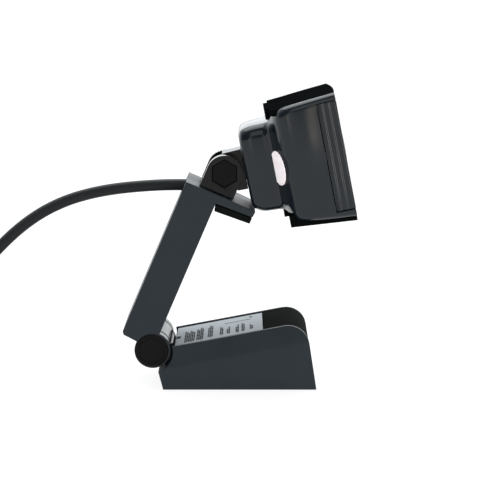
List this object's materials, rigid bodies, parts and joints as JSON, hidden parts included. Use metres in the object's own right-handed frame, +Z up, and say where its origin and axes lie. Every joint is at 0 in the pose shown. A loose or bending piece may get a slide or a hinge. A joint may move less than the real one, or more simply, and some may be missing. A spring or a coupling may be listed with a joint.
{
  "type": "webcam on folding clip stand",
  "caption": "Webcam head that tilts and swivels on a folding clip stand with a padded foot, and a lead that ends in a plug.",
  "frame": {"origin": "centre of the foot's underside, on the surface the foot stands on", "axes": "+X the way the camera faces, +Y to the camera's left, +Z up"},
  "size_m": [0.1817, 0.0572, 0.0978],
  "materials": {
    "satin_grey": "satin moulded plastic, dark blue-grey",
    "gloss_grey": "glossy moulded plastic, dark grey",
    "matte_black": "matte black moulded plastic",
    "gloss_black": "polished black plastic",
    "rubber": "matte black rubber",
    "steel": "zinc-plated steel",
    "silver_film": "silver-white printed film",
    "white_film": "white film and nylon",
    "lens_glass": "coated lens glass",
    "circuit_board": "solder-masked board",
    "cord_pvc": "soft black PVC jacket"
  },
  "bodies": {
    "foot": {"foot_shell": "satin_grey", "foot_pad": "rubber", "foot_label": "silver_film", "foot_bottom_plate": "satin_grey", "foot_screw_1": "steel", "foot_screw_2": "steel", "foot_weight": "steel"},
    "arm": {"arm_shell": "satin_grey", "arm_cover": "satin_grey", "arm_screw_1": "steel", "arm_screw_2": "steel", "lip_pad": "rubber", "cable_grommet": "rubber", "inner_lead": "cord_pvc", "fold_bolt": "steel", "fold_nut": "steel", "fold_washer_near": "steel", "fold_washer_far": "steel", "fold_cap_near": "matte_black", "fold_cap_far": "matte_black", "cord_tube": "cord_pvc", "cord_coil": "cord_pvc", "cord_tail": "cord_pvc", "cord_tie": "matte_black", "plug_body": "matte_black", "plug_shell": "steel"},
    "swivel": {"swivel_clevis": "matte_black", "swivel_clip": "steel", "swivel_washer": "steel", "tilt_bolt": "steel", "tilt_nut": "steel", "tilt_washer_near": "steel", "tilt_washer_far": "steel", "tilt_cap_near": "matte_black", "tilt_cap_far": "matte_black"},
    "head": {"head_tongue": "matte_black", "tongue_clamp": "steel", "tongue_screw_1": "steel", "tongue_screw_2": "steel", "head_rear_shell": "gloss_grey", "head_front_cover": "matte_black", "side_trim_near": "gloss_grey", "side_trim_far": "gloss_grey", "lens_ring": "gloss_black", "lens_window": "lens_glass", "lens_barrel": "matte_black", "lens_glass": "lens_glass", "lens_mount": "matte_black", "image_sensor": "gloss_black", "main_board": "circuit_board", "board_screw_1": "steel", "board_screw_2": "steel", "lead_connector": "white_film", "microphone": "steel", "light_pipe": "white_film", "round_sticker": "white_film"}
  },
  "joints": [
    {"name": "fold", "type": "hinge", "parent": "foot", "child": "arm", "pos_m": [-0.0288, 0, 0.0125], "axis": [0, -1, 0], "range_deg": [-50, 95]},
    {"name": "pan", "type": "hinge", "parent": "arm", "child": "swivel", "pos_m": [-0.00511, 0, 0.07056], "axis": [0.3939, 0, 0.9191], "range_deg": [-90, 90]},
    {"name": "tilt", "type": "hinge", "parent": "swivel", "child": "head", "pos_m": [-0.00511, 0, 0.07056], "axis": [0, -1, 0], "range_deg": [0, 100]}
  ]
}
